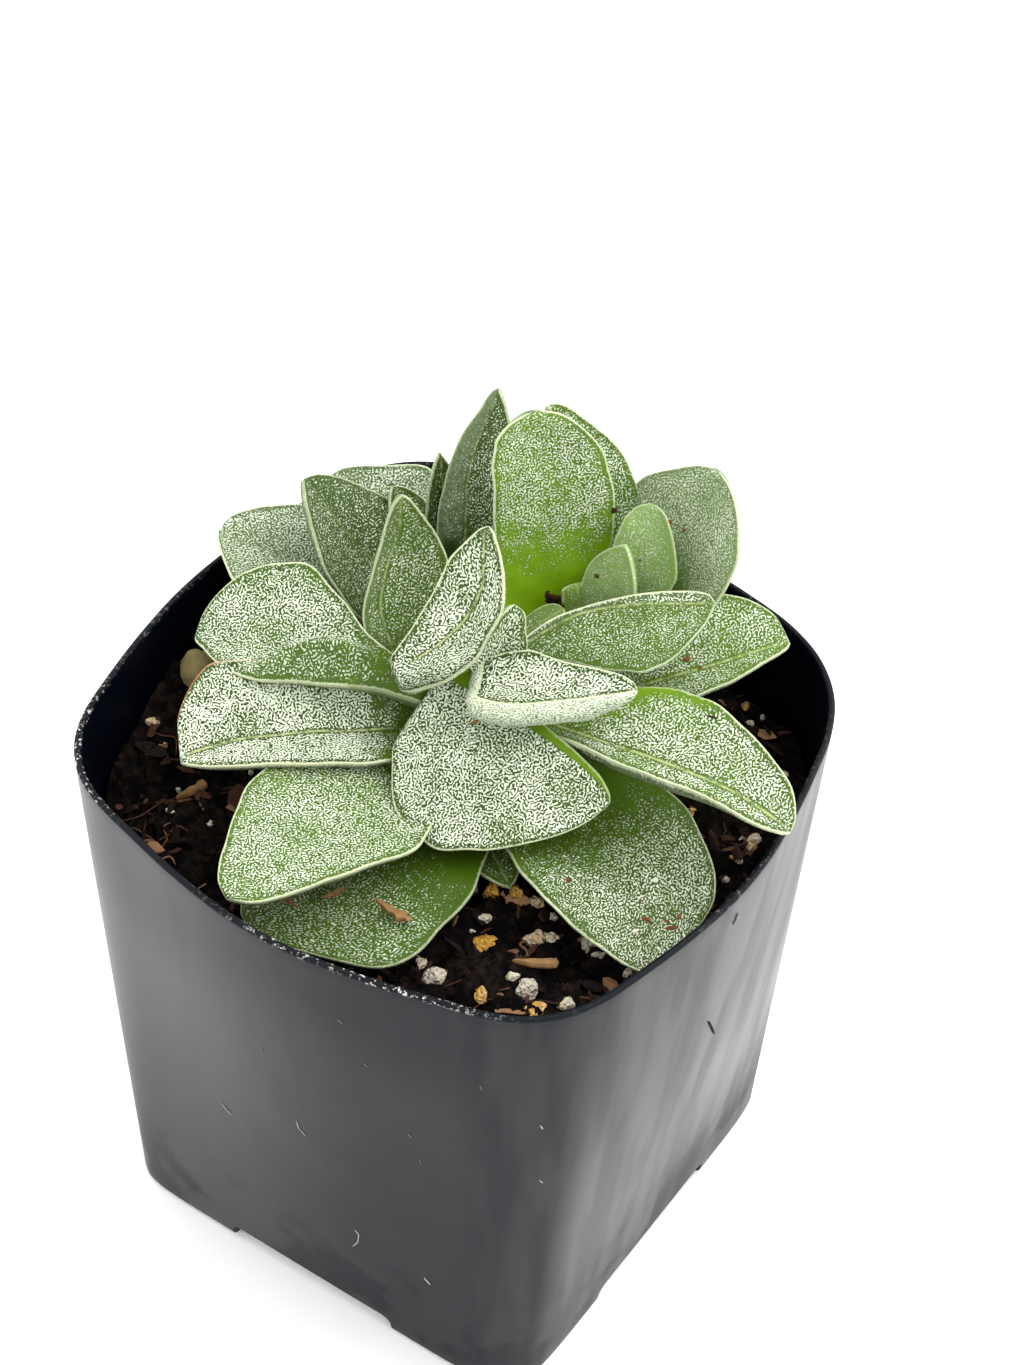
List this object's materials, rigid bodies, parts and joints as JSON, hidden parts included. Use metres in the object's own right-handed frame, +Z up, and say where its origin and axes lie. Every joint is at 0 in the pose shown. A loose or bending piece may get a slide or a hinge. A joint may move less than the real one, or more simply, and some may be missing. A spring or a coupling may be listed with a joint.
{
  "type": "potted morgans beauty crassula",
  "caption": "Low succulent with thick silver-speckled green leaves in crowded rosettes, planted in potting mix in a black square nursery pot.",
  "frame": {"origin": "centre of the pot's foot, on the surface it stands on", "axes": "+Z up, X and Y along the pot's sides; the front corner between +X and -Y faces the camera"},
  "size_m": [0.0686, 0.068, 0.0861],
  "materials": {
    "pot_plastic": "black moulded plastic with a dull sheen, faint streaks and pale scuffs on the rim",
    "potting_mix": "dark damp peat and bark crumbs",
    "leaf": "waxy green under a fine maze of raised silver-white dots, bare and bright green at the foot",
    "young_leaf": "young leaf almost white with raised silver dots",
    "stem": "smooth pale green",
    "perlite": "rough porous white to yellow grains",
    "stone": "smooth beige stone",
    "bark": "dry red-brown bark fibres"
  },
  "bodies": {
    "root": {"pot": "pot_plastic", "soil": "potting_mix", "stem_main": "stem", "stem_right": "stem", "stem_left": "stem", "crown_leaf_right": "young_leaf", "crown_leaf_back": "young_leaf", "crown_leaf_small": "young_leaf", "leaf_front": "leaf", "leaf_back_left": "leaf", "leaf_back": "leaf", "leaf_left": "leaf", "leaf_left_low": "leaf", "leaf_right": "leaf", "leaf_front_left": "leaf", "leaf_front_low": "leaf", "leaf_front_right": "leaf", "leaf_small_low": "leaf", "leaf_back_right": "leaf", "leaf_back_right_low": "leaf", "right_head_back": "leaf", "right_head_inner": "leaf", "right_head_bud": "leaf", "right_head_left": "leaf", "left_head_up": "leaf", "left_head_front": "leaf", "left_head_low": "leaf", "left_head_back": "leaf", "left_head_narrow": "leaf", "right_head_stub": "leaf", "right_head_strip": "leaf", "left_head_inner": "leaf", "rear_leaf_left": "leaf", "rear_leaf_right": "leaf", "grain_yellow": "perlite", "grain_double": "perlite", "grain_tall": "perlite", "grain_shard": "perlite", "grain_left": "perlite", "grain_front": "perlite", "grain_beige": "perlite", "grain_right": "perlite", "stone": "stone", "bark_soil": "bark", "bark_left": "bark", "bark_leaf_long": "bark", "bark_leaf_short": "bark"}
  },
  "joints": []
}
